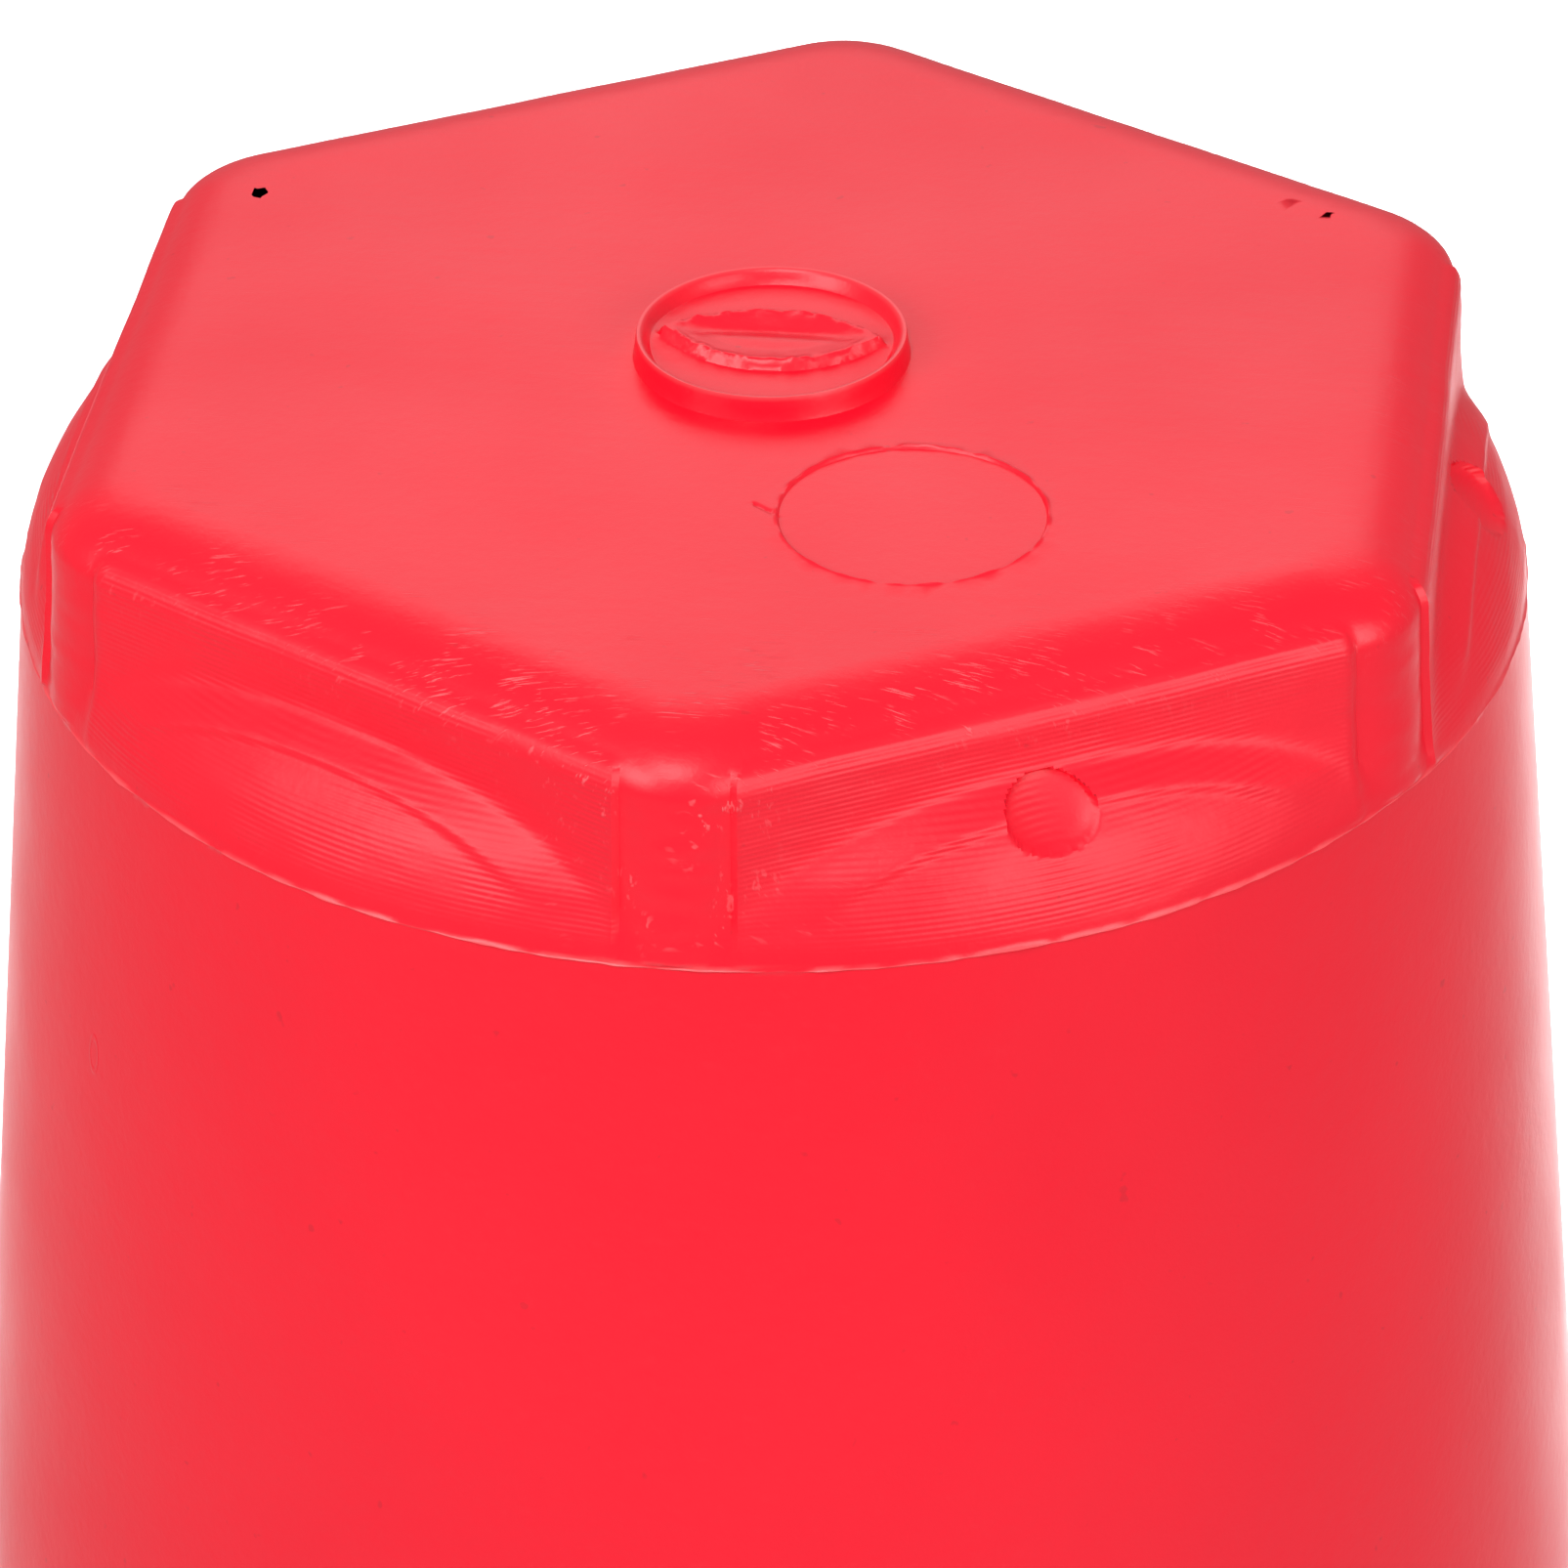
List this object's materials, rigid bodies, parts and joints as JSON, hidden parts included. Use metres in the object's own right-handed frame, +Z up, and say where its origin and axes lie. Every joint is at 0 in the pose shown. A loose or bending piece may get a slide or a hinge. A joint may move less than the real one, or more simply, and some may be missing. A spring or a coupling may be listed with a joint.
{
  "type": "water filled barrier post",
  "caption": "Hollow tapered barrier post with a hexagonal head and foot, filled with water through a screw cap, with through sleeves for round rails.",
  "frame": {"origin": "centre of the footprint, on the ground under the foot pads", "axes": "+Z up; rails run along X; +Y points out of the filler at the back; the drain plug is on the -X side"},
  "size_m": [0.38, 0.416, 0.75],
  "materials": {
    "red_plastic": "satin",
    "neck_plastic": "satin",
    "black_plastic": "satin",
    "sleeve_plastic": "satin",
    "plug_plastic": "satin",
    "reflective_sheet": "gloss",
    "seal_rubber": "matte",
    "pad_rubber": "matte"
  },
  "bodies": {
    "post": {"body_shell": "red_plastic", "filler_neck": "neck_plastic", "drain_fitting": "black_plastic", "band_upper": "reflective_sheet", "band_lower": "reflective_sheet", "rail_sleeve_upper": "sleeve_plastic", "rail_sleeve_lower": "sleeve_plastic", "grommet_upper_left": "seal_rubber", "grommet_upper_right": "seal_rubber", "grommet_lower_left": "seal_rubber", "grommet_lower_right": "seal_rubber", "foot_pad_1": "pad_rubber", "foot_pad_2": "pad_rubber", "foot_pad_3": "pad_rubber", "foot_pad_4": "pad_rubber", "foot_pad_5": "pad_rubber", "foot_pad_6": "pad_rubber"},
    "filler_seal": {"filler_gasket": "seal_rubber"},
    "filler_screw_cap": {"filler_cap": "black_plastic"},
    "drain_seal": {"drain_oring": "seal_rubber"},
    "drain_screw_plug": {"drain_plug": "plug_plastic"}
  },
  "joints": [
    {"name": "filler_lift", "type": "slide", "parent": "post", "child": "filler_seal", "axis": [0, 1, 0], "range_m": [0, 0.008]},
    {"name": "filler_turn", "type": "hinge", "parent": "filler_seal", "child": "filler_screw_cap", "pos_m": [0, 0.09146, 0.472], "axis": [0, 1, 0], "range_deg": [0, 720]},
    {"name": "drain_lift", "type": "slide", "parent": "post", "child": "drain_seal", "axis": [-1, 0, 0], "range_m": [0, 0.006]},
    {"name": "drain_turn", "type": "hinge", "parent": "drain_seal", "child": "drain_screw_plug", "pos_m": [-0.166, 0, 0.033], "axis": [-1, 0, 0], "range_deg": [0, 720]}
  ],
  "couplings": [
    {"joint": "filler_lift", "follows": "filler_turn", "m_per_rad": 0.00063662},
    {"joint": "drain_lift", "follows": "drain_turn", "m_per_rad": 0.00047746}
  ]
}
